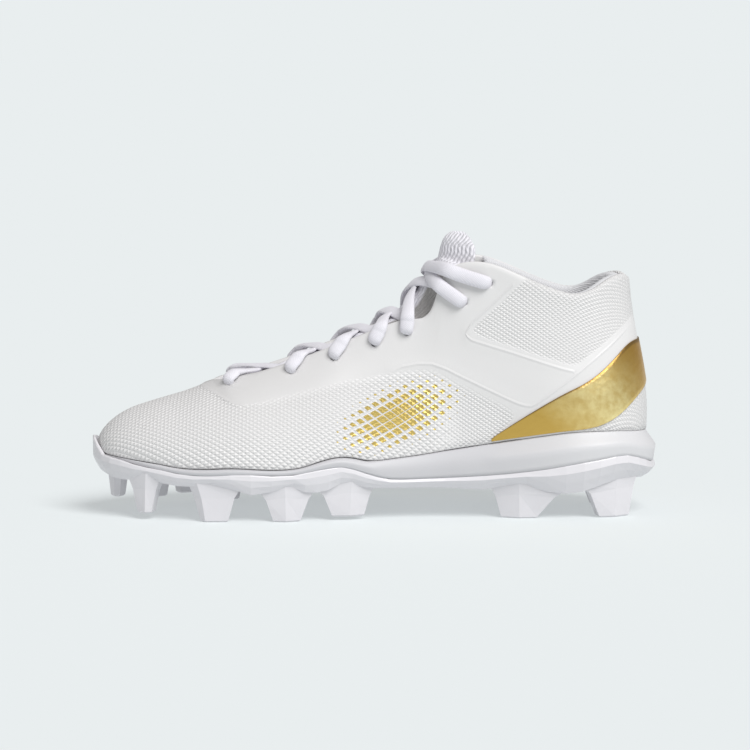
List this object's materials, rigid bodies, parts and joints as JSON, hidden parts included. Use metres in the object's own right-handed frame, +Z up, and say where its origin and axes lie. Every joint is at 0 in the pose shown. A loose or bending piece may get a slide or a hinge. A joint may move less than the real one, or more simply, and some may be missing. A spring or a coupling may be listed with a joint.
{
  "type": "american football cleat",
  "caption": "Mid-cut white american football cleat with a moulded stud plate, gold heel film, padded collar and criss-cross lacing; right shoe",
  "frame": {"origin": "middle of the bounding box in plan, on the floor under the studs", "axes": "+Z up, toe towards -X, heel towards +X, inner side towards -Y"},
  "size_m": [0.291, 0.1054, 0.145],
  "materials": {
    "stud_plate": "semi-gloss moulded nylon",
    "foam": "matt painted foam",
    "skin": "embossed coated synthetic",
    "footbed": "brushed cloth over foam",
    "knit": "ribbed knit",
    "lining": "spacer mesh",
    "gold_film": "metallic foil film",
    "cord": "flat woven lace"
  },
  "bodies": {
    "root": {"outsole": "stud_plate", "midsole": "foam", "upper": "skin", "insole": "footbed", "tongue": "knit", "collar_padding": "lining", "heel_band": "gold_film", "laces": "cord"}
  },
  "joints": []
}
